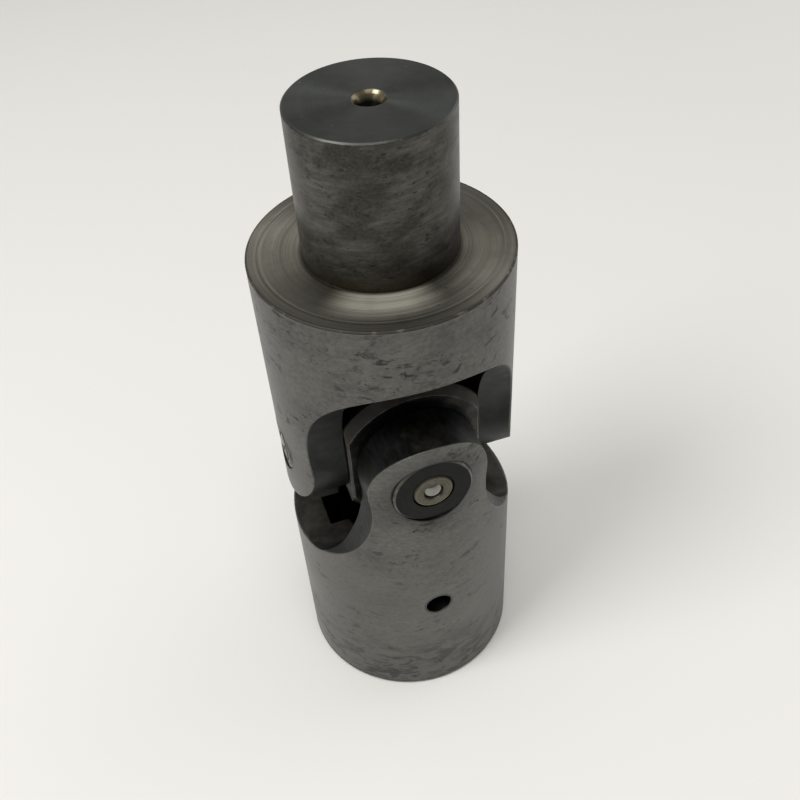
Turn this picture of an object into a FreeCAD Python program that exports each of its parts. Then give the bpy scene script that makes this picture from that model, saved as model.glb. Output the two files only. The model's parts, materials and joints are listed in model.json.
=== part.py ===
import FreeCAD, Part
import math
import os

# Pin-and-block universal joint, standing on the end of its bored hub.
# Millimetres. The origin is the centre of the bottom face and +Z runs up the shaft axis.
# The lower yoke's pin lies along Y and the upper yoke's pin lies along X.

INCH = 25.4

# Driving dimensions
body_radius = 0.75 * INCH              # both yokes are turned from the same round bar
overall_length = 4.3125 * INCH
shank_radius = 0.4375 * INCH
shank_length = 21.9
bore_radius = 0.4375 * INCH
keyway_width = 0.25 * INCH
keyway_depth = 0.125 * INCH            # measured at the side of the keyway
cross_hole_radius = 2.25
cross_hole_height = 24.95
pin_radius = 0.25 * INCH               # the long pin, in the lower yoke
short_pin_radius = 0.1875 * INCH       # the short pins, in the upper yoke
pin_reach = 18.75                      # from the pivot centre to the flat end of a pin
pivot_height = overall_length / 2

# Ear outline, seen along the yoke's own pin
ear_tip_radius = 9.65
flank_radius = 0.75 * INCH             # the cutter that scoops the waist on each side of an ear
lower_flank_drop = 4.1                 # flank centre past the pin, towards the lower hub
upper_flank_drop = 4.8                 # the same towards the shank
slot_half_width = 10.8
slot_depth = 20.2                      # from the pin axis to the flat slot floor
slot_corner_radius = 5.0               # where a slot wall meets the floor

# Centre block: a round slug turned about the long pin's axis, with two flats milled across it
block_half_width = 10.7
block_radius = 13.5
block_end_chamfer = 1.4
block_corner_chamfer = 0.35

# Short pins and what holds them
nose_radius = 3.0                      # a short pin's reduced end sits inside the long pin
nose_gap = 0.25
shoulder_gap = 0.1
lock_radius = 1.2
lock_offset = 8.6
lock_half_length = 9.9

# Flush ball oilers, driven into the pin ends
oiler_radius = 3.17
oiler_length = 6.6
oiler_proud = 0.12                     # how far an oiler stands out of its pin
oiler_mouth_radius = 1.62
oiler_lip_radius = 1.5
oiler_lip_depth = 0.35
oiler_seat_depth = 0.35
oiler_chamber_radius = 2.5
oiler_floor_thickness = 0.5
oiler_outlet_radius = 0.8
ball_radius = 2.4
spring_coil_radius = 1.1
spring_wire_radius = 0.12
spring_wire_sides = 8                  # the fine wire is made as an octagonal bar
spring_turns = 3

# Clearances and broken edges
running_clearance = 0.03
fixed_clearance = 0.01
lip_clearance = 0.02
pin_end_chamfer = 0.3
base_chamfer = 0.6
bore_chamfer = 0.8
rim_chamfer = 0.15
shank_chamfer = 0.25
oiler_rim_chamfer = 0.25
lock_chamfer = 0.3
pocket_floor_gap = 0.05
pocket_relief_radius = 3.35
pocket_relief_depth = 0.7
oil_way_radius = 1.0
oil_way_end = 10.3
oil_hole_radius = 0.6
oil_hole_offset = 11.4

# Centre-drilled hole in the shank's end
centre_mouth_radius = 2.35
centre_guard_depth = 0.45
centre_cone_radius = 1.95
centre_pilot_radius = 1.0
centre_cone_depth = 2.1
centre_pilot_depth = 4.6
centre_point_depth = 0.6

# Shallow turned groove near the rim of the shoulder
rim_groove_radius = 17.25
rim_groove_half_width = 0.3
rim_groove_depth = 0.05

shoulder_height = overall_length - shank_length
slot_floor_height = pivot_height - slot_depth
oiler_front = pin_reach + oiler_proud
lip_position = oiler_front - oiler_lip_depth
oiler_back = oiler_front - oiler_length
ball_position = lip_position - lip_clearance - math.sqrt(ball_radius**2 - oiler_lip_radius**2)

Z_AXIS = FreeCAD.Vector(0, 0, 1)
ORIGIN = FreeCAD.Vector(0, 0, 0)
PIVOT = FreeCAD.Vector(0, 0, pivot_height)
MARGIN = 1.0                           # how far a cutting tool runs past the metal


def turned(outline):
    """Revolve a closed outline of (radius, position) points about Z."""
    points = [FreeCAD.Vector(radius, 0, position) for radius, position in outline]
    wire = Part.makePolygon(points + points[:1])
    return Part.Face(wire).revolve(ORIGIN, Z_AXIS, 360)


def rod(radius, start, end):
    """A plain cylinder along Z between two positions."""
    return Part.makeCylinder(radius, end - start, FreeCAD.Vector(0, 0, start), Z_AXIS)


def turn_to(shape, direction):
    """Carry a shape made along +Z round to point along a direction from the pivot."""
    rotation = FreeCAD.Rotation(Z_AXIS, FreeCAD.Vector(*direction))
    carried = shape.copy()
    carried.Placement = FreeCAD.Placement(PIVOT, rotation).multiply(shape.Placement)
    return carried


def box(x_range, y_range, z_range):
    """An axis-aligned box from three (low, high) pairs."""
    corner = FreeCAD.Vector(x_range[0], y_range[0], z_range[0])
    size = [high - low for low, high in (x_range, y_range, z_range)]
    return Part.makeBox(size[0], size[1], size[2], corner)


def ear_outline(flank_drop):
    """The outline of a yoke seen along its pin: hub below, ear tip round the pin at the top."""
    centre_distance = ear_tip_radius + flank_radius
    flank_offset = math.sqrt(centre_distance**2 - flank_drop**2)
    tangent = math.atan2(flank_drop, flank_offset)
    hub_reach = overall_length

    def point(lateral, height):
        return FreeCAD.Vector(lateral, 0, height)

    def on_flank(side, angle):
        lateral = flank_offset - flank_radius * math.cos(angle)
        return point(side * lateral, -flank_drop + flank_radius * math.sin(angle))

    halfway = (tangent - math.pi / 2) / 2
    left = [on_flank(-1, -math.pi / 2), on_flank(-1, halfway), on_flank(-1, tangent)]
    right = [on_flank(1, tangent), on_flank(1, halfway), on_flank(1, -math.pi / 2)]
    low_left = point(left[0].x, -hub_reach)
    low_right = point(right[2].x, -hub_reach)
    edges = [
        Part.Arc(*left).toShape(),
        Part.Arc(left[2], point(0, ear_tip_radius), right[0]).toShape(),
        Part.Arc(*right).toShape(),
        Part.LineSegment(right[2], low_right).toShape(),
        Part.LineSegment(low_right, low_left).toShape(),
        Part.LineSegment(low_left, left[0]).toShape(),
    ]
    return Part.Face(Part.Wire(edges))


def slot_cutter():
    """The gap between the ears, along X, with round corners where its walls meet its floor."""
    reach = body_radius + MARGIN
    inner = slot_half_width - slot_corner_radius
    corner_top = slot_corner_radius - slot_depth
    bend = slot_corner_radius * (1 - math.sqrt(0.5))

    def point(across, height):
        return FreeCAD.Vector(-reach, across, height)

    def corner(side):
        wall_end = point(side * slot_half_width, corner_top)
        middle = point(side * (slot_half_width - bend), bend - slot_depth)
        return Part.Arc(wall_end, middle, point(side * inner, -slot_depth)).toShape()

    top_left = point(-slot_half_width, reach)
    top_right = point(slot_half_width, reach)
    edges = [
        Part.LineSegment(top_left, point(-slot_half_width, corner_top)).toShape(),
        corner(-1),
        Part.LineSegment(point(-inner, -slot_depth), point(inner, -slot_depth)).toShape(),
        corner(1),
        Part.LineSegment(point(slot_half_width, corner_top), top_right).toShape(),
        Part.LineSegment(top_right, top_left).toShape(),
    ]
    return Part.Face(Part.Wire(edges)).extrude(FreeCAD.Vector(2 * reach, 0, 0))


def yoke_envelope(flank_drop):
    """What is left after the ear tips, flanks and slot are cut: hub towards -Z, pin along Y."""
    reach = body_radius + MARGIN
    outline = ear_outline(flank_drop)
    outline.translate(FreeCAD.Vector(0, -reach, 0))
    envelope = outline.extrude(FreeCAD.Vector(0, 2 * reach, 0))
    return envelope.cut(slot_cutter())


def pin_hole(radius, direction):
    """The bore through both ears of a yoke, along one direction and its opposite."""
    reach = body_radius + MARGIN
    return turn_to(rod(radius + running_clearance, -reach, reach), direction)


def make_lower_yoke():
    """Hub with a keyed bore, a cross-pin hole and two ears.

    The bore narrows to the slot's width at the slot floor, so it clears the slot's round corners
    and leaves the ears' inner walls whole.
    """
    top = pivot_height + ear_tip_radius + MARGIN
    bar = turned([
        (0, 0),
        (body_radius - base_chamfer, 0),
        (body_radius, base_chamfer),
        (body_radius, top),
        (0, top),
    ])
    envelope = yoke_envelope(lower_flank_drop)
    envelope.translate(PIVOT)
    run_out_top = slot_floor_height + slot_corner_radius + MARGIN
    bore = turned([
        (0, -MARGIN),
        (bore_radius + bore_chamfer + MARGIN, -MARGIN),
        (bore_radius, bore_chamfer),
        (bore_radius, slot_floor_height),
        (slot_half_width, slot_floor_height),
        (slot_half_width, run_out_top),
        (0, run_out_top),
    ])
    half_key = keyway_width / 2
    keyway_face = math.sqrt(bore_radius**2 - half_key**2) + keyway_depth
    keyway = box((-keyway_face, 0), (-half_key, half_key), (-MARGIN, slot_floor_height + MARGIN))
    reach = body_radius + MARGIN
    cross_hole = Part.makeCylinder(
        cross_hole_radius,
        2 * reach,
        FreeCAD.Vector(0, -reach, cross_hole_height),
        FreeCAD.Vector(0, 1, 0),
    )
    return bar.common(envelope).cut([bore, keyway, cross_hole, pin_hole(pin_radius, (0, 1, 0))])


def centre_drilling():
    """Bell-mouthed centre hole, made at the origin and pointing down from z = 0."""
    return turned([
        (0, MARGIN),
        (centre_mouth_radius, MARGIN),
        (centre_mouth_radius, 0),
        (centre_cone_radius, -centre_guard_depth),
        (centre_pilot_radius, -centre_cone_depth),
        (centre_pilot_radius, -centre_pilot_depth),
        (0, -centre_pilot_depth - centre_point_depth),
    ])


def make_upper_yoke():
    """Two ears, a shoulder and a solid shank with a centre-drilled end."""
    bottom = pivot_height - ear_tip_radius - MARGIN
    groove_inner = rim_groove_radius - rim_groove_half_width
    groove_outer = rim_groove_radius + rim_groove_half_width
    bar = turned([
        (0, bottom),
        (body_radius, bottom),
        (body_radius, shoulder_height - rim_chamfer),
        (body_radius - rim_chamfer, shoulder_height),
        (groove_outer, shoulder_height),
        (rim_groove_radius, shoulder_height - rim_groove_depth),
        (groove_inner, shoulder_height),
        (shank_radius, shoulder_height),
        (shank_radius, overall_length - shank_chamfer),
        (shank_radius - shank_chamfer, overall_length),
        (0, overall_length),
    ])
    envelope = yoke_envelope(upper_flank_drop)
    envelope.rotate(ORIGIN, FreeCAD.Vector(0, 1, 0), 180)
    envelope.rotate(ORIGIN, Z_AXIS, 90)
    envelope.translate(PIVOT)
    drilling = centre_drilling()
    drilling.translate(FreeCAD.Vector(0, 0, overall_length))
    return bar.common(envelope).cut([drilling, pin_hole(short_pin_radius, (1, 0, 0))])


def octagon_prism(half_width, corner, half_height):
    """A square bar about the pivot with its four upright corners broken."""
    flat = half_width - corner
    corners = [
        (half_width, flat), (flat, half_width), (-flat, half_width), (-half_width, flat),
        (-half_width, -flat), (-flat, -half_width), (flat, -half_width), (half_width, -flat),
    ]
    bottom = pivot_height - half_height
    points = [FreeCAD.Vector(x, y, bottom) for x, y in corners]
    face = Part.Face(Part.makePolygon(points + points[:1]))
    return face.extrude(FreeCAD.Vector(0, 0, 2 * half_height))


def make_center_block():
    """The slug that both pins pass through."""
    face_radius = block_radius - block_end_chamfer
    barrel_end = block_half_width - block_end_chamfer
    slug = turn_to(turned([
        (0, -block_half_width),
        (face_radius, -block_half_width),
        (block_radius, -barrel_end),
        (block_radius, barrel_end),
        (face_radius, block_half_width),
        (0, block_half_width),
    ]), (0, 1, 0))
    reach = block_radius + MARGIN
    squared = slug.common(octagon_prism(block_half_width, block_corner_chamfer, reach))
    long_bore = rod(pin_radius + fixed_clearance, -reach, reach)
    short_bore = rod(short_pin_radius + fixed_clearance, -reach, reach)
    lock_bore = rod(lock_radius + fixed_clearance, -reach, reach)
    bores = [turn_to(long_bore, (0, 1, 0)), turn_to(short_bore, (1, 0, 0))]
    for side in (-1, 1):
        hole = turn_to(lock_bore, (0, 0, 1))
        hole.translate(FreeCAD.Vector(side * lock_offset, 0, 0))
        bores.append(hole)
    return squared.cut(bores)


def oil_end():
    """The pocket, oil way and oil hole that are drilled into a pin's +Z end."""
    pocket_radius = oiler_radius + fixed_clearance
    pocket = rod(pocket_radius, oiler_back - pocket_floor_gap, pin_reach + MARGIN)
    relief = rod(pocket_relief_radius, pin_reach - pocket_relief_depth, pin_reach + MARGIN)
    way = rod(oil_way_radius, oil_way_end, oiler_back)
    hole = Part.makeCylinder(
        oil_hole_radius,
        2 * (pin_radius + MARGIN),
        FreeCAD.Vector(0, -pin_radius - MARGIN, oil_hole_offset),
        FreeCAD.Vector(0, 1, 0),
    )
    return pocket.fuse([relief, way, hole])


def make_long_pin():
    """The lower yoke's pin, one piece through both ears and the block."""
    flat_radius = pin_radius - pin_end_chamfer
    shoulder = pin_reach - pin_end_chamfer
    bar = turned([
        (0, -pin_reach),
        (flat_radius, -pin_reach),
        (pin_radius, -shoulder),
        (pin_radius, shoulder),
        (flat_radius, pin_reach),
        (0, pin_reach),
    ])
    pin = turn_to(bar, (0, 1, 0))
    reach = pin_radius + MARGIN
    nose_bore = turn_to(rod(nose_radius + fixed_clearance, -reach, reach), (1, 0, 0))
    ends = [turn_to(oil_end(), (0, side, 0)) for side in (-1, 1)]
    return pin.cut([nose_bore] + ends)


def make_short_pin(side):
    """One of the upper yoke's two pins, with a nose that reaches into the long pin."""
    start = pin_radius + shoulder_gap
    bar = turned([
        (0, nose_gap),
        (nose_radius, nose_gap),
        (nose_radius, start),
        (short_pin_radius, start),
        (short_pin_radius, pin_reach - pin_end_chamfer),
        (short_pin_radius - pin_end_chamfer, pin_reach),
        (0, pin_reach),
    ])
    pin = turn_to(bar.cut(oil_end()), (side, 0, 0))
    reach = pin_radius + MARGIN
    lock_bore = turn_to(rod(lock_radius + fixed_clearance, -reach, reach), (0, 0, 1))
    lock_bore.translate(FreeCAD.Vector(side * lock_offset, 0, 0))
    return pin.cut(lock_bore)


def make_lock_pin(side):
    """A dowel through the block that stops a short pin from turning or backing out."""
    tip = lock_radius - lock_chamfer
    straight = lock_half_length - lock_chamfer
    dowel = turn_to(turned([
        (0, -lock_half_length),
        (tip, -lock_half_length),
        (lock_radius, -straight),
        (lock_radius, straight),
        (tip, lock_half_length),
        (0, lock_half_length),
    ]), (0, 0, 1))
    dowel.translate(FreeCAD.Vector(side * lock_offset, 0, 0))
    return dowel


def make_oiler_body(direction):
    """Cup with a turned-in lip that keeps the ball in and an outlet in its floor."""
    chamber_top = lip_position - oiler_seat_depth
    chamber_floor = oiler_back + oiler_floor_thickness
    return turn_to(turned([
        (oiler_outlet_radius, oiler_back),
        (oiler_radius, oiler_back),
        (oiler_radius, oiler_front - oiler_rim_chamfer),
        (oiler_radius - oiler_rim_chamfer, oiler_front),
        (oiler_mouth_radius, oiler_front),
        (oiler_lip_radius, lip_position),
        (oiler_chamber_radius, chamber_top),
        (oiler_chamber_radius, chamber_floor),
        (oiler_outlet_radius, chamber_floor),
    ]), direction)


def make_oiler_ball(direction):
    """The ball that closes an oiler from inside."""
    return turn_to(Part.makeSphere(ball_radius, FreeCAD.Vector(0, 0, ball_position)), direction)


def make_oiler_spring(direction):
    """The small coil spring between an oiler's floor and its ball."""
    low = oiler_back + oiler_floor_thickness + spring_wire_radius + lip_clearance
    ball_gap = ball_radius + spring_wire_radius + lip_clearance
    high = ball_position - math.sqrt(ball_gap**2 - spring_coil_radius**2)
    length = high - low
    helix = Part.makeHelix(length / spring_turns, length, spring_coil_radius)
    corners = []
    for corner in range(spring_wire_sides):
        angle = 2 * math.pi * corner / spring_wire_sides
        reach = spring_coil_radius + spring_wire_radius * math.cos(angle)
        corners.append(FreeCAD.Vector(reach, 0, spring_wire_radius * math.sin(angle)))
    section = Part.makePolygon(corners + corners[:1])
    coil = Part.Wire(helix.Edges).makePipeShell([section], True, True)
    coil.translate(FreeCAD.Vector(0, 0, low))
    return turn_to(coil, direction)


def main():
    nodes = {
        "lower_yoke": make_lower_yoke(),
        "upper_yoke": make_upper_yoke(),
        "center_block": make_center_block(),
        "long_pin": make_long_pin(),
    }
    for name, side in (("left", -1), ("right", 1)):
        nodes["short_pin_" + name] = make_short_pin(side)
        nodes["lock_pin_" + name] = make_lock_pin(side)
    oiler_directions = {
        "front": (0, -1, 0),
        "back": (0, 1, 0),
        "left": (-1, 0, 0),
        "right": (1, 0, 0),
    }
    for name, direction in oiler_directions.items():
        nodes["oiler_body_" + name] = make_oiler_body(direction)
        nodes["oiler_ball_" + name] = make_oiler_ball(direction)
        nodes["oiler_spring_" + name] = make_oiler_spring(direction)

    os.makedirs("parts", exist_ok=True)
    for name, shape in nodes.items():
        shape.exportStep("parts/" + name + ".step")
        print(name, shape.ShapeType, len(shape.Solids), shape.isValid(), round(shape.Volume, 2))


main()
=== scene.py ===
import json
import math

import bpy
from mathutils import Matrix, Vector


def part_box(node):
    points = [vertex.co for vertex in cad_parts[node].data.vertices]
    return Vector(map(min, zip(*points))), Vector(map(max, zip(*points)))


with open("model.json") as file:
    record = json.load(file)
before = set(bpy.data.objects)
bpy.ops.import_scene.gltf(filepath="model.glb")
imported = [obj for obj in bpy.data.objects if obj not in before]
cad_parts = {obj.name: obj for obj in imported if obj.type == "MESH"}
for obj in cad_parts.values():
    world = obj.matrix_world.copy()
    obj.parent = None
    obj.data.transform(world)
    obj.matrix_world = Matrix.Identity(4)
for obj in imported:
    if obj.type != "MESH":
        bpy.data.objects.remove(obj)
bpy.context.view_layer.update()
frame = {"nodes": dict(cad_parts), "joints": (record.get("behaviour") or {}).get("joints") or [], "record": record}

# Pin-and-block universal joint: looks for the CAD nodes, a pale floor, soft light and the camera.
# Lengths are in metres here. Inside the materials they are in millimetres from the pivot centre.

MM = 0.001
PER_MM = 1000.0


def mount(name):
    """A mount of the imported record, by name."""
    return next(entry for entry in frame["record"]["mounts"] if entry["name"] == name)


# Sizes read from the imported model, in millimetres from the pivot centre
PIVOT = frame["joints"][0]["pos_m"][2]
BODY_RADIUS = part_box("lower_yoke")[1].x * PER_MM
TOP = (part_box("upper_yoke")[1].z - PIVOT) * PER_MM
BASE = -PIVOT * PER_MM
SHOULDER = (mount("shoulder")["pos_m"][2] - PIVOT) * PER_MM
SHANK_RADIUS = mount("shank")["dims"]["r_mm"]
CROSS_HOLE_HEIGHT = (mount("cross_pin_hole")["pos_m"][2] - PIVOT) * PER_MM
CROSS_HOLE_RADIUS = mount("cross_pin_hole")["dims"]["r_mm"]
PIN_RADIUS = (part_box("long_pin")[1].z - PIVOT) * PER_MM
SHORT_PIN_RADIUS = (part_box("short_pin_left")[1].z - PIVOT) * PER_MM
OILER_RADIUS = (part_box("oiler_body_front")[1].z - PIVOT) * PER_MM
BLOCK_HALF_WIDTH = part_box("center_block")[1].y * PER_MM
EAR_TIP_RADIUS = (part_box("lower_yoke")[1].z - PIVOT) * PER_MM

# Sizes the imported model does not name, in millimetres: the slot's floor, the edge of the centre hole's
# colour, which lies 0.05 outside its 2.35 mouth, and the depth of the straight step below that mouth
SLOT_FLOOR = -20.2
CENTRE_HOLE_RADIUS = 2.4
CENTRE_GUARD_DEPTH = 0.45

# A painted shade: the dark disc on the block's faces, a little off centre
SHADE_DISC_RADIUS = 10.9
SHADE_DISC_SHIFT = 1.0
SHADE_DISC_RISE = 0.6

# Where the painted highlight on the turned shoulder points, along X and Y
HIGHLIGHT_SECTOR_X = -0.28
HIGHLIGHT_SECTOR_Y = -0.96

# Reflectance of the surfaces, as linear red, green and blue
SKIN_LIGHT = (0.170, 0.170, 0.160)
SKIN_DARK = (0.066, 0.066, 0.062)
SKIN_STAIN = (0.030, 0.029, 0.027)
SCRATCH = (0.26, 0.26, 0.25)
MILLED = (0.040, 0.043, 0.041)
MILLED_DARK = (0.021, 0.022, 0.021)
SLOT_BROWN = (0.085, 0.080, 0.068)
# Painted shade for the bore, the depth of the centre hole and the oiler pockets
RECESS_SHADE = (0.009, 0.009, 0.008)
TURNED_LIGHT = (0.44, 0.42, 0.355)
TURNED_DARK = (0.115, 0.110, 0.092)
# Painted highlight for the bright sector of the turned shoulder
PAINTED_TURNED_HIGHLIGHT = (0.40, 0.385, 0.33)
SHANK_LIGHT = (0.125, 0.122, 0.111)
SHANK_DARK = (0.040, 0.039, 0.033)
# Painted shade where the shank meets the shoulder
CREASE_SHADE = (0.040, 0.034, 0.024)
FACED_LIGHT = (0.072, 0.076, 0.070)
FACED_DARK = (0.052, 0.055, 0.051)
DRILLED = (0.17, 0.148, 0.095)
BLOCK_BROWN = (0.060, 0.056, 0.048)
BLOCK_BLACK = (0.016, 0.016, 0.017)
WORN_EDGE = (0.42, 0.41, 0.38)
PIN_GREY = (0.016, 0.018, 0.017)
PIN_DARK = (0.009, 0.010, 0.010)
OILER_BROWN = (0.175, 0.163, 0.128)
OILER_DARK = (0.050, 0.047, 0.036)
BALL_STEEL = (0.24, 0.235, 0.22)
WIRE_STEEL = (0.45, 0.44, 0.42)
DOWEL_STEEL = (0.25, 0.25, 0.25)
FLOOR_WHITE = (0.80, 0.792, 0.765)

# The room's light: its colour, and its strength in front of the joint and behind it
ROOM_WHITE = (1.0, 1.0, 0.985, 1.0)
ROOM_DIM = 0.26
ROOM_BRIGHT = 0.54


class Look:
    """One procedural material. Its helper methods each add a node and hand back an output socket."""

    def __init__(self, name, edge_radius=0.2):
        self.material = bpy.data.materials.new(name)
        self.material.use_nodes = True
        self.tree = self.material.node_tree
        self.tree.nodes.clear()
        output = self.tree.nodes.new("ShaderNodeOutputMaterial")
        self.shader = self.tree.nodes.new("ShaderNodeBsdfPrincipled")
        self.tree.links.new(self.shader.outputs["BSDF"], output.inputs["Surface"])
        self.shader.inputs["Metallic"].default_value = 1.0
        coordinates = self.tree.nodes.new("ShaderNodeTexCoord")
        metres = self.vector("SUBTRACT", coordinates.outputs["Object"], (0.0, 0.0, PIVOT))
        self.place = self.vector("SCALE", metres, scale=PER_MM)
        parts = self.add("ShaderNodeSeparateXYZ", Vector=self.place)
        self.x, self.y, self.z = parts.outputs
        facing = self.add("ShaderNodeSeparateXYZ", Vector=coordinates.outputs["Normal"])
        self.facing_z = facing.outputs["Z"]
        bevel = self.add("ShaderNodeBevel", settings={"samples": 4}, Radius=edge_radius * MM)
        self.soft_normal = bevel.outputs["Normal"]

    def put(self, socket, value):
        if isinstance(value, bpy.types.NodeSocket):
            self.tree.links.new(value, socket)
        elif isinstance(value, tuple) and len(value) == 3 and socket.type == "RGBA":
            socket.default_value = (*value, 1.0)
        else:
            socket.default_value = value

    def add(self, kind, settings=None, **inputs):
        node = self.tree.nodes.new(kind)
        for name, value in (settings or {}).items():
            setattr(node, name, value)
        for name, value in inputs.items():
            self.put(node.inputs[name.replace("_", " ")], value)
        return node

    def vector(self, operation, first, second=None, scale=None):
        node = self.add("ShaderNodeVectorMath", {"operation": operation})
        self.put(node.inputs[0], first)
        if second is not None:
            self.put(node.inputs[1], second)
        if scale is not None:
            self.put(node.inputs["Scale"], scale)
        return node.outputs["Value" if operation in ("DOT_PRODUCT", "LENGTH") else "Vector"]

    def math(self, operation, *values, clamp=False):
        node = self.add("ShaderNodeMath", {"operation": operation, "use_clamp": clamp})
        for socket, value in zip(node.inputs, values):
            self.put(socket, value)
        return node.outputs[0]

    def both(self, *masks):
        product = masks[0]
        for mask in masks[1:]:
            product = self.math("MULTIPLY", product, mask)
        return product

    def without(self, mask):
        return self.math("SUBTRACT", 1.0, mask)

    def fade(self, value, start, end, low=0.0, high=1.0):
        """Rises smoothly from low to high while the value goes from start to end."""
        node = self.add("ShaderNodeMapRange", {"interpolation_type": "SMOOTHSTEP"}, Value=value)
        limits = (("From Min", start), ("From Max", end), ("To Min", low), ("To Max", high))
        for name, limit in limits:
            self.put(node.inputs[name], limit)
        return node.outputs["Result"]

    def band(self, value, low, high, soft):
        """1 between low and high, falling to 0 over a soft width outside them."""
        rising = self.fade(value, low - soft, low)
        return self.both(rising, self.fade(value, high + soft, high))

    def distance(self, first, second):
        squares = [self.math("POWER", value, 2.0) for value in (first, second)]
        return self.math("SQRT", self.math("ADD", *squares))

    def point(self, x, y, z):
        return self.add("ShaderNodeCombineXYZ", X=x, Y=y, Z=z).outputs["Vector"]

    def noise(self, at, density, detail=3.0, roughness=0.5, seed=0.0, distortion=0.0):
        """Smooth noise around 0.5. Density is how many features there are per millimetre along X, Y, Z."""
        shifted = self.add("ShaderNodeMapping", Vector=at, Scale=density, Location=(seed, -seed, 2.3 * seed))
        node = self.add(
            "ShaderNodeTexNoise",
            Vector=shifted.outputs["Vector"],
            Scale=1.0,
            Detail=detail,
            Roughness=roughness,
            Distortion=distortion,
        )
        return node.outputs[0]

    def mix(self, mask, first, second):
        node = self.add("ShaderNodeMix", {"data_type": "RGBA"})
        for socket, value in ((node.inputs[0], mask), (node.inputs[6], first), (node.inputs[7], second)):
            self.put(socket, value)
        return node.outputs[2]

    def blend(self, mask, first, second):
        node = self.add("ShaderNodeMix", {"data_type": "FLOAT"})
        for socket, value in ((node.inputs[0], mask), (node.inputs[2], first), (node.inputs[3], second)):
            self.put(socket, value)
        return node.outputs[0]

    def lathe(self, axis):
        """Distance from an axis through the pivot, and where each point is on a turned profile."""
        along = {"X": self.x, "Y": self.y, "Z": self.z}[axis]
        across = {"X": (self.y, self.z), "Y": (self.x, self.z), "Z": (self.x, self.y)}[axis]
        radius = self.distance(*across)
        return radius, self.math("ADD", along, radius)

    def tool_marks(self, profile, fineness, seed=0.0):
        """Rings left by a tool: fast change along the profile and slow change round it."""
        at = self.point(self.x, self.y, profile)
        slow = 0.02
        return self.noise(at, (slow, slow, fineness), detail=4.0, roughness=0.65, seed=seed)

    def edge_wear(self):
        """1 on a sharp edge, 0 on open surface."""
        true_normal = self.add("ShaderNodeNewGeometry").outputs["Normal"]
        along = self.vector("DOT_PRODUCT", self.soft_normal, true_normal)
        return self.fade(along, 0.995, 0.86)

    def stretch_highlights(self, strength):
        """Spread reflections across turned rings about Z, as a lathe's marks do."""
        round_axis = self.point(self.math("MULTIPLY", self.y, -1.0), self.x, 0.0)
        spaces = {"vector_type": "VECTOR", "convert_from": "OBJECT", "convert_to": "WORLD"}
        tangent = self.add("ShaderNodeVectorTransform", spaces, Vector=round_axis)
        self.put(self.shader.inputs["Anisotropic"], strength)
        self.put(self.shader.inputs["Tangent"], self.vector("NORMALIZE", tangent.outputs["Vector"]))

    def finish(self, color, roughness, relief, depth):
        """Wire the colour, the roughness and a relief of a depth in millimetres into the shader."""
        bump = self.add("ShaderNodeBump", Height=relief, Distance=depth * MM, Normal=self.soft_normal)
        self.put(self.shader.inputs["Base Color"], color)
        self.put(self.shader.inputs["Roughness"], roughness)
        self.put(self.shader.inputs["Normal"], bump.outputs["Normal"])
        return self.material


def on_outside(look, radius):
    """1 on the ground outside of the bar, 0 further in."""
    return look.fade(radius, BODY_RADIUS - 0.30, BODY_RADIUS - 0.12)


def skin(look, seed):
    """Ground outside of the bar: soft mottling, faint grinding lines, stains, specks and scratches."""
    radius, profile = look.lathe("Z")
    clouds = look.noise(look.place, (0.10, 0.10, 0.13), detail=5.0, roughness=0.6, seed=seed)
    grain = look.noise(look.place, (1.3, 1.3, 1.7), detail=5.0, roughness=0.62, seed=seed + 3)
    lines = look.tool_marks(profile, 2.2, seed)
    tone = look.math("ADD", look.fade(clouds, 0.30, 0.72, 0.0, 0.50), look.fade(grain, 0.32, 0.68, 0.0, 0.30))
    tone = look.math("ADD", tone, look.fade(lines, 0.32, 0.68, -0.05, 0.08))
    color = look.mix(tone, SKIN_DARK, SKIN_LIGHT)

    patches = look.fade(look.noise(look.place, (0.11, 0.11, 0.14), seed=seed + 11), 0.44, 0.58)
    blot_density = (0.42, 0.42, 0.85)
    blots = look.noise(look.place, blot_density, detail=5.0, roughness=0.62, seed=seed + 5, distortion=0.6)
    specks = look.noise(look.place, (1.5, 1.5, 2.4), detail=3.0, roughness=0.55, seed=seed + 7)
    stains = look.both(look.fade(blots, 0.54, 0.66, 0.0, 0.85), patches)
    dots = look.fade(specks, 0.63, 0.69, 0.0, 0.85)
    color = look.mix(stains, color, SKIN_STAIN)
    color = look.mix(look.both(dots, look.fade(patches, 0.0, 1.0, 0.25, 1.0)), color, SKIN_STAIN)

    hair_density = (0.35, 0.35, 3.4)
    hairs = look.noise(look.place, hair_density, detail=2.0, roughness=0.4, seed=seed + 17, distortion=0.4)
    scratches = look.both(look.band(hairs, 0.498, 0.502, 0.004), look.fade(clouds, 0.5, 0.65))
    color = look.mix(look.math("MULTIPLY", scratches, 0.35), color, SCRATCH)

    roughness = look.fade(clouds, 0.3, 0.7, 0.36, 0.44)
    roughness = look.math("ADD", roughness, look.both(stains, 0.12))
    relief = look.math("ADD", look.math("MULTIPLY", lines, 0.2), look.math("MULTIPLY", grain, 0.7))
    relief = look.math("SUBTRACT", relief, look.math("MULTIPLY", dots, 0.5))
    return color, roughness, relief, radius, profile


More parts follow.
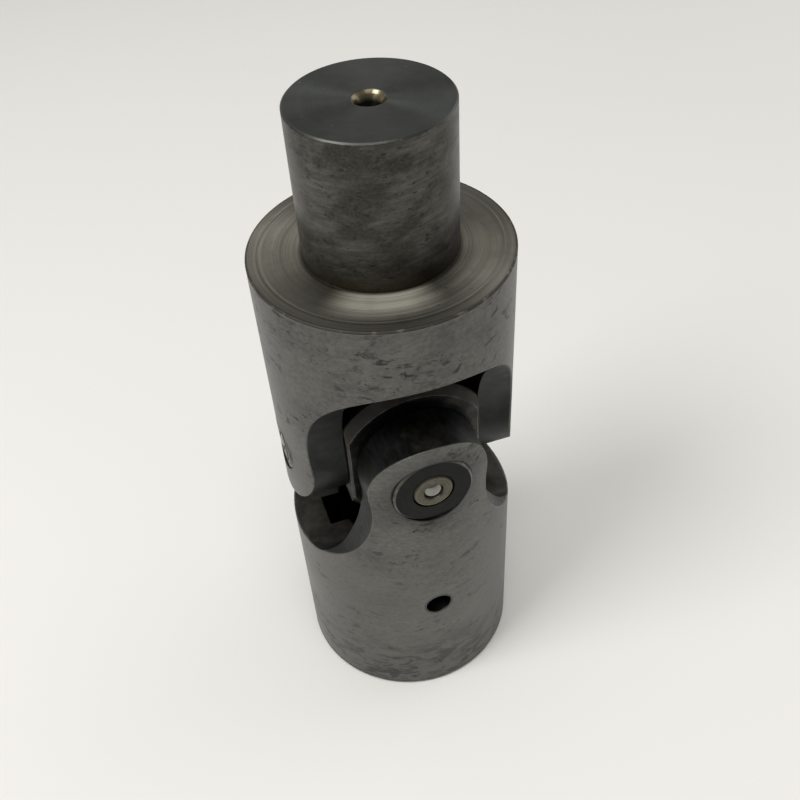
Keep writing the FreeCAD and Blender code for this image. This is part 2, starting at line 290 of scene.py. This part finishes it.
def milled(look, seed):
    """Cut surfaces inside the bar: blackened, streaked by the cutter, brown with oil on flat floors."""
    streaks = look.noise(look.place, (0.5, 0.5, 2.6), detail=4.0, roughness=0.6, seed=seed)
    clouds = look.noise(look.place, (0.22, 0.22, 0.22), detail=4.0, roughness=0.55, seed=seed + 2)
    color = look.mix(look.fade(clouds, 0.3, 0.7), MILLED_DARK, MILLED)
    color = look.mix(look.fade(streaks, 0.35, 0.75, 0.0, 0.45), color, MILLED)
    flat = look.fade(look.math("ABSOLUTE", look.facing_z), 0.9, 0.98)
    floor_tone = look.mix(look.fade(clouds, 0.3, 0.7), MILLED_DARK, SLOT_BROWN)
    color = look.mix(look.both(flat, 0.9), color, floor_tone)
    roughness = look.fade(streaks, 0.3, 0.7, 0.38, 0.52)
    return color, roughness, streaks


def yoke_base(look, pin_across, pin_radius, seed):
    """Skin outside and milled surfaces inside, with worn edges and a dark seat round each pin."""
    color, roughness, relief, radius, profile = skin(look, seed)
    inside_color, inside_roughness, inside_relief = milled(look, seed + 29)
    on_skin = on_outside(look, radius)
    color = look.mix(on_skin, inside_color, color)
    roughness = look.blend(on_skin, inside_roughness, roughness)
    relief = look.blend(on_skin, look.math("MULTIPLY", inside_relief, 0.8), relief)

    to_pin = look.distance(pin_across, look.z)
    seat = look.both(look.fade(to_pin, pin_radius + 0.42, pin_radius + 0.12, 0.0, 0.85), on_skin)
    smear = look.both(look.fade(to_pin, pin_radius + 3.0, pin_radius, 0.0, 0.30), on_skin)
    color = look.mix(look.math("MAXIMUM", seat, smear), color, SKIN_STAIN)

    wear = look.both(look.edge_wear(), look.fade(radius, BODY_RADIUS - 0.6, BODY_RADIUS - 0.3))
    wear = look.both(wear, look.without(look.fade(to_pin, pin_radius + 1.0, pin_radius + 0.5)))
    return color, roughness, relief, radius, profile, wear


def lower_yoke_look():
    """Bored hub: lighter below the slot as painted light, stained towards its foot, with painted shade in the bore
    behind the slot.
    """
    look = Look("lower_yoke_steel")
    color, roughness, relief, radius, profile, wear = yoke_base(look, look.x, PIN_RADIUS, 4.0)

    # Painted light: the outside of the hub made lighter below the slot
    hub = look.both(on_outside(look, radius), look.fade(look.z, -8.0, -22.0))
    color = look.mix(look.both(hub, 0.35), color, SKIN_LIGHT)
    foot = look.fade(look.z, BASE + 20.0, BASE + 4.0)
    handling = look.noise(look.place, (0.28, 0.28, 0.6), detail=5.0, roughness=0.6, seed=41.0, distortion=0.8)
    grime = look.both(foot, look.fade(handling, 0.44, 0.62, 0.15, 0.8))
    color = look.mix(grime, color, SKIN_STAIN)

    # Painted shade in the bore and the keyway below the slot floor
    inside_hub = look.fade(radius, SHANK_RADIUS + 2.8, SHANK_RADIUS + 0.1)
    bore = look.both(inside_hub, look.fade(look.z, SLOT_FLOOR, SLOT_FLOOR - 0.4))
    color = look.mix(bore, color, RECESS_SHADE)

    to_hole = look.distance(look.x, look.math("SUBTRACT", look.z, CROSS_HOLE_HEIGHT))
    rim = look.both(look.band(to_hole, CROSS_HOLE_RADIUS, CROSS_HOLE_RADIUS + 0.25, 0.2), 0.6)
    color = look.mix(rim, color, SKIN_STAIN)
    color = look.mix(look.both(wear, 0.22), color, WORN_EDGE)
    return look.finish(color, roughness, relief, 0.014)


def shoulder_zone(look, radius, profile):
    """Turned face: concentric tool rings with grime in the grooves, a painted highlight in a sector at the front
    and painted shade over the rest.

    The coarse rings scatter light as well as mirror it, so the metallic share is less than 1 here.
    """
    wide = look.tool_marks(profile, 1.3, 51.0)
    fine = look.tool_marks(profile, 6.0, 57.0)
    rings = look.math("ADD", look.math("MULTIPLY", wide, 0.45), look.math("MULTIPLY", fine, 0.55))
    dirt = look.noise(look.place, (0.3, 0.3, 0.3), detail=5.0, roughness=0.6, seed=61.0)
    color = look.mix(look.fade(rings, 0.36, 0.62), TURNED_DARK, TURNED_LIGHT)
    color = look.mix(look.fade(dirt, 0.48, 0.72, 0.0, 0.55), color, TURNED_DARK)
    spots = look.fade(look.noise(look.place, (1.3, 1.3, 1.3), seed=67.0), 0.68, 0.72, 0.0, 0.8)
    color = look.mix(spots, color, SKIN_STAIN)
    # A sector near the root, towards the front and a little to -X, gets a painted highlight; the rest of the
    # shoulder gets painted shade
    leftward = look.math("MULTIPLY", look.x, HIGHLIGHT_SECTOR_X)
    forward = look.math("MULTIPLY", look.y, HIGHLIGHT_SECTOR_Y)
    toward_front = look.math("DIVIDE", look.math("ADD", leftward, forward), radius)
    near_root = look.fade(radius, BODY_RADIUS - 1.6, SHANK_RADIUS + 2.5)
    sector = look.both(look.fade(toward_front, 0.80, 1.0), near_root)
    # Painted shade over the shoulder outside the sector
    color = look.mix(look.both(look.without(sector), 0.80), color, TURNED_DARK)
    # Painted highlight: bright streaks along the rings inside the sector
    highlight_streak = look.both(sector, look.fade(rings, 0.38, 0.58, 0.25, 1.0))
    color = look.mix(look.both(highlight_streak, 0.80), color, PAINTED_TURNED_HIGHLIGHT)
    # Painted shade in the corner where the shoulder meets the shank
    root = look.fade(radius, SHANK_RADIUS + 0.7, SHANK_RADIUS + 0.1, 0.0, 0.70)
    color = look.mix(root, color, CREASE_SHADE)
    metallic = look.math("SUBTRACT", 0.92, look.math("MULTIPLY", sector, 0.60))
    return color, look.fade(rings, 0.3, 0.7, 0.44, 0.56), look.math("MULTIPLY", rings, 3.2), metallic


def shank_zone(look):
    """Shank: dark, streaked aslant and round, with painted shade, darker and browner, at its foot."""
    leaning = look.point(look.x, look.y, look.math("ADD", look.z, look.math("MULTIPLY", look.x, -0.08)))
    streaks = look.noise(leaning, (0.14, 0.14, 1.9), detail=5.0, roughness=0.70, seed=71.0, distortion=0.2)
    patches = look.noise(leaning, (0.16, 0.16, 0.30), detail=5.0, roughness=0.68, seed=73.0)
    grain = look.noise(look.place, (2.5, 2.5, 3.0), detail=3.0, roughness=0.7, seed=79.0)
    tone = look.both(look.fade(patches, 0.38, 0.66), look.fade(streaks, 0.30, 0.72, 0.25, 1.15))
    color = look.mix(tone, SHANK_DARK, SHANK_LIGHT)
    color = look.mix(look.fade(grain, 0.35, 0.70, 0.0, 0.25), color, SHANK_LIGHT)
    pits = look.fade(look.noise(look.place, (0.7, 0.7, 1.3), detail=5.0, seed=83.0), 0.60, 0.68, 0.0, 0.8)
    color = look.mix(pits, color, SKIN_STAIN)
    # Painted shade towards the foot of the shank
    oil = look.fade(look.z, SHOULDER + 3.5, SHOULDER + 0.3, 0.0, 0.75)
    color = look.mix(oil, color, CREASE_SHADE)
    return color, look.fade(streaks, 0.3, 0.7, 0.36, 0.46), look.math("MULTIPLY", grain, 0.8)


def faced_zone(look, profile):
    """Smooth, faintly ringed end of the shank."""
    clouds = look.noise(look.place, (0.25, 0.25, 0.25), detail=4.0, roughness=0.55, seed=89.0)
    rings = look.tool_marks(profile, 3.0, 97.0)
    tone = look.math("ADD", look.fade(clouds, 0.3, 0.7, 0.0, 0.6), look.fade(rings, 0.3, 0.7, 0.0, 0.4))
    color = look.mix(tone, FACED_DARK, FACED_LIGHT)
    dust = look.fade(look.noise(look.place, (1.4, 1.4, 1.4), seed=101.0), 0.70, 0.74, 0.0, 0.35)
    color = look.mix(dust, color, SCRATCH)
    return color, look.math("MULTIPLY", rings, 0.5)


def upper_yoke_look():
    """Shouldered yoke with a plain shank and a centre-drilled end."""
    look = Look("upper_yoke_steel")
    color, roughness, relief, radius, profile, wear = yoke_base(look, look.y, SHORT_PIN_RADIUS, 9.0)

    above = look.fade(look.z, SHOULDER - 0.55, SHOULDER - 0.35)
    turned_color, turned_roughness, turned_relief, turned_metallic = shoulder_zone(look, radius, profile)
    color = look.mix(above, color, turned_color)
    roughness = look.blend(above, roughness, turned_roughness)
    relief = look.blend(above, relief, turned_relief)
    look.stretch_highlights(look.both(above, look.fade(look.facing_z, 0.8, 0.95, 0.0, 0.85)))

    on_shoulder = look.both(above, look.fade(radius, SHANK_RADIUS + 0.02, SHANK_RADIUS + 0.10))
    look.put(look.shader.inputs["Metallic"], look.blend(on_shoulder, 1.0, turned_metallic))

    within_shank = look.fade(radius, SHANK_RADIUS + 0.05, SHANK_RADIUS + 0.01)
    on_shank = look.both(within_shank, look.fade(look.z, SHOULDER - 0.2, SHOULDER))
    shank_color, shank_roughness, shank_relief = shank_zone(look)
    color = look.mix(on_shank, color, shank_color)
    roughness = look.blend(on_shank, roughness, shank_roughness)
    relief = look.blend(on_shank, relief, shank_relief)

    on_top = look.fade(look.z, TOP - 0.3, TOP - 0.05)
    faced_color, faced_relief = faced_zone(look, profile)
    color = look.mix(on_top, color, faced_color)
    relief = look.blend(on_top, relief, faced_relief)

    within_hole = look.fade(radius, CENTRE_HOLE_RADIUS + 0.05, CENTRE_HOLE_RADIUS)
    drilled = look.both(within_hole, look.fade(look.z, TOP - 0.05, TOP - 0.15))
    # Painted shade deeper in the centre hole
    deep_shade = look.fade(look.z, TOP - CENTRE_GUARD_DEPTH, TOP - 3.0 * CENTRE_GUARD_DEPTH)
    color = look.mix(drilled, color, look.mix(deep_shade, DRILLED, RECESS_SHADE))
    roughness = look.blend(drilled, roughness, 0.26)

    # Painted shade on the chamfer at the shoulder's rim, in patches, with a rougher finish there
    near_edge = look.fade(radius, BODY_RADIUS - 0.45, BODY_RADIUS - 0.2)
    rim = look.both(look.band(look.z, SHOULDER - 0.30, SHOULDER, 0.1), near_edge)
    rim_shade_patches = look.fade(look.noise(look.place, (0.5, 0.5, 0.5), seed=107.0), 0.56, 0.66, 0.85, 0.2)
    color = look.mix(look.both(rim, rim_shade_patches), color, SKIN_STAIN)
    roughness = look.blend(rim, roughness, 0.6)
    color = look.mix(look.both(wear, 0.2), color, WORN_EDGE)
    return look.finish(color, roughness, relief, 0.014)


def block_look():
    """Round slug: painted shade as a black disc on its faces, brown and ringed round the outside, bright edges."""
    look = Look("block_steel", edge_radius=0.18)
    radius, profile = look.lathe("Y")
    rings = look.tool_marks(profile, 3.5, 5.0)
    clouds = look.noise(look.place, (0.3, 0.3, 0.3), detail=5.0, roughness=0.6, seed=8.0)
    color = look.mix(look.fade(clouds, 0.3, 0.75), BLOCK_BLACK, BLOCK_BROWN)
    color = look.mix(look.fade(rings, 0.45, 0.75, 0.0, 0.5), color, BLOCK_BROWN)
    on_face = look.fade(look.math("ABSOLUTE", look.y), BLOCK_HALF_WIDTH - 0.1, BLOCK_HALF_WIDTH - 0.02)
    # Painted shade: a black disc, ragged and off centre, on each face of the block
    sideways = look.math("ADD", look.x, SHADE_DISC_SHIFT)
    upward = look.math("SUBTRACT", look.z, SHADE_DISC_RISE)
    color = look.mix(look.both(look.without(on_face), 0.5), color, BLOCK_BROWN)
    ragged = look.math("ADD", look.distance(sideways, upward), look.fade(clouds, 0.3, 0.7, -0.35, 0.35))
    shade_disc = look.both(look.fade(ragged, SHADE_DISC_RADIUS + 0.3, SHADE_DISC_RADIUS - 0.3), on_face)
    dust = look.both(on_face, look.fade(clouds, 0.50, 0.66, 0.0, 0.45))
    near_tip = look.band(radius, EAR_TIP_RADIUS, EAR_TIP_RADIUS + 0.9, 0.8)
    color = look.mix(shade_disc, color, BLOCK_BLACK)
    color = look.mix(look.both(dust, near_tip), color, BLOCK_BROWN)
    color = look.mix(look.both(look.edge_wear(), look.fade(clouds, 0.3, 0.6, 0.10, 0.55)), color, WORN_EDGE)
    roughness = look.blend(shade_disc, look.fade(rings, 0.3, 0.7, 0.34, 0.5), 0.38)
    return look.finish(color, roughness, look.math("MULTIPLY", rings, 1.6), 0.010)


def pin_look(name, axis, pin_radius):
    """Hardened pin: charcoal, with fine turned rings on its flat end."""
    look = Look(name, edge_radius=0.12)
    radius, profile = look.lathe(axis)
    rings = look.tool_marks(profile, 4.5, 13.0)
    clouds = look.noise(look.place, (0.5, 0.5, 0.5), detail=4.0, roughness=0.6, seed=14.0)
    tone = look.math("ADD", look.fade(rings, 0.3, 0.7, 0.0, 0.55), look.fade(clouds, 0.3, 0.7, 0.0, 0.45))
    color = look.mix(tone, PIN_DARK, PIN_GREY)
    chamfer = look.fade(radius, pin_radius - 0.34, pin_radius - 0.26)
    color = look.mix(look.both(chamfer, look.fade(clouds, 0.3, 0.65, 0.3, 0.8)), color, SKIN_LIGHT)
    # Painted shade in the oiler's pocket
    pocket_shade = look.fade(radius, OILER_RADIUS + 0.34, OILER_RADIUS + 0.2)
    color = look.mix(pocket_shade, color, RECESS_SHADE)
    roughness = look.fade(rings, 0.3, 0.7, 0.30, 0.40)
    return look.finish(color, roughness, look.math("MULTIPLY", rings, 1.2), 0.008)


def oiler_look(name, axis):
    """Dull brownish cup with fine rings and painted shade round its outer rim."""
    look = Look(name, edge_radius=0.1)
    radius, profile = look.lathe(axis)
    rings = look.tool_marks(profile, 6.0, 19.0)
    clouds = look.noise(look.place, (0.8, 0.8, 0.8), detail=4.0, roughness=0.6, seed=21.0)
    tone = look.math("ADD", look.fade(rings, 0.3, 0.7, 0.0, 0.5), look.fade(clouds, 0.3, 0.7, 0.0, 0.5))
    color = look.mix(tone, OILER_DARK, OILER_BROWN)
    # Painted shade round the outer rim, next to the gap of the pocket
    rim = look.fade(radius, OILER_RADIUS - 0.3, OILER_RADIUS - 0.12, 0.0, 0.7)
    color = look.mix(rim, color, OILER_DARK)
    roughness = look.fade(clouds, 0.3, 0.7, 0.38, 0.52)
    return look.finish(color, roughness, rings, 0.008)


def plain_steel_look(name, color, roughness, depth):
    """Bare steel with faint clouding, for the balls, the springs and the dowels."""
    look = Look(name, edge_radius=0.05)
    clouds = look.noise(look.place, (1.2, 1.2, 1.2), detail=4.0, roughness=0.6, seed=31.0)
    dulled = tuple(0.8 * value for value in color)
    shade = look.mix(look.fade(clouds, 0.45, 0.75), color, dulled)
    return look.finish(shade, look.fade(clouds, 0.3, 0.7, roughness, roughness * 1.4), clouds, depth)


def floor_look():
    """Plain pale bench top."""
    look = Look("pale_floor")
    look.shader.inputs["Metallic"].default_value = 0.0
    clouds = look.noise(look.place, (0.004, 0.004, 0.004), detail=3.0, seed=2.0)
    shade = tuple(0.97 * value for value in FLOOR_WHITE)
    return look.finish(look.mix(look.fade(clouds, 0.3, 0.7), shade, FLOOR_WHITE), 0.6, clouds, 0.01)


def dress(node, material):
    """Give a CAD node one material in every slot."""
    mesh = frame["nodes"][node].data
    if not mesh.materials:
        mesh.materials.append(material)
    for index in range(len(mesh.materials)):
        mesh.materials[index] = material


def dress_model():
    """Dress all 20 nodes; pieces that match share a material."""
    dress("lower_yoke", lower_yoke_look())
    dress("upper_yoke", upper_yoke_look())
    dress("center_block", block_look())
    dress("long_pin", pin_look("long_pin_steel", "Y", PIN_RADIUS))
    short_pin = pin_look("short_pin_steel", "X", SHORT_PIN_RADIUS)
    dowel = plain_steel_look("dowel_steel", DOWEL_STEEL, 0.3, 0.004)
    for side in ("left", "right"):
        dress("short_pin_" + side, short_pin)
        dress("lock_pin_" + side, dowel)
    ball = plain_steel_look("ball_steel", BALL_STEEL, 0.05, 0.0005)
    wire = plain_steel_look("wire_steel", WIRE_STEEL, 0.3, 0.002)
    for axis, ends in (("Y", ("front", "back")), ("X", ("left", "right"))):
        oiler = oiler_look("oiler_steel_" + axis, axis)
        for end in ends:
            dress("oiler_body_" + end, oiler)
            dress("oiler_ball_" + end, ball)
            dress("oiler_spring_" + end, wire)


def add_floor():
    """A square bench top, 4 m across."""
    half = 2.0
    mesh = bpy.data.meshes.new("floor")
    corners = [(-half, -half, 0.0), (half, -half, 0.0), (half, half, 0.0), (-half, half, 0.0)]
    mesh.from_pydata(corners, [], [(0, 1, 2, 3)])
    mesh.materials.append(floor_look())
    floor = bpy.data.objects.new("floor", mesh)
    bpy.context.scene.collection.objects.link(floor)


def add_area_light(name, place, size, power, color):
    """A square soft light that faces the middle of the joint."""
    light = bpy.data.lights.new(name, "AREA")
    light.shape = "SQUARE"
    light.size = size
    light.energy = power
    light.color = color
    lamp = bpy.data.objects.new(name, light)
    lamp.location = place
    toward_joint = Vector((0.0, 0.0, PIVOT)) - lamp.location
    lamp.rotation_euler = toward_joint.to_track_quat("-Z", "Y").to_euler()
    bpy.context.scene.collection.objects.link(lamp)


def add_light():
    """A pale room, dimmer on the camera's side, with a key light, an overhead light and a side panel."""
    world = bpy.data.worlds.new("studio")
    world.use_nodes = True
    nodes, links = world.node_tree.nodes, world.node_tree.links
    direction = nodes.new("ShaderNodeSeparateXYZ")
    links.new(nodes.new("ShaderNodeTexCoord").outputs["Generated"], direction.inputs["Vector"])
    ramp = nodes.new("ShaderNodeMapRange")
    ramp.interpolation_type = "SMOOTHSTEP"
    limits = {"From Min": -0.85, "From Max": 0.10, "To Min": ROOM_DIM, "To Max": ROOM_BRIGHT}
    for name, limit in limits.items():
        ramp.inputs[name].default_value = limit
    links.new(direction.outputs["Y"], ramp.inputs["Value"])
    background = nodes["Background"]
    background.inputs["Color"].default_value = ROOM_WHITE
    links.new(ramp.outputs["Result"], background.inputs["Strength"])
    bpy.context.scene.world = world
    add_area_light("key", (-0.42, -0.10, 0.62), 0.30, 2.9, (1.0, 0.99, 0.97))
    add_area_light("overhead", (-0.03, -0.22, 0.80), 0.26, 1.5, (1.0, 0.97, 0.92))
    add_area_light("right_panel", (0.62, 0.10, 0.22), 0.50, 0.9, (1.0, 1.0, 0.99))


def add_camera():
    """The camera stands close, in front and a little to the -X side, and looks down at about 45 degrees."""
    swing = math.radians(15.31)
    reach = 0.11071
    height = 0.16629
    yaw = math.radians(0.555)
    pitch = math.radians(44.71)
    roll = math.radians(4.216)
    lens = 43.215
    camera = bpy.data.objects.new("camera", bpy.data.cameras.new("camera"))
    camera.data.lens = lens
    camera.data.sensor_width = 36.0
    camera.data.clip_start = 0.01
    turn = Matrix.Rotation(-swing - yaw, 4, "Z")
    tilt = Matrix.Rotation(math.pi / 2 - pitch, 4, "X")
    lean = Matrix.Rotation(-roll, 4, "Z")
    place = Matrix.Translation((-reach * math.sin(swing), -reach * math.cos(swing), height))
    camera.matrix_world = place @ turn @ tilt @ lean
    bpy.context.scene.collection.objects.link(camera)
    bpy.context.scene.camera = camera


dress_model()
add_floor()
add_light()
add_camera()
bpy.context.scene.view_settings.view_transform = "Standard"
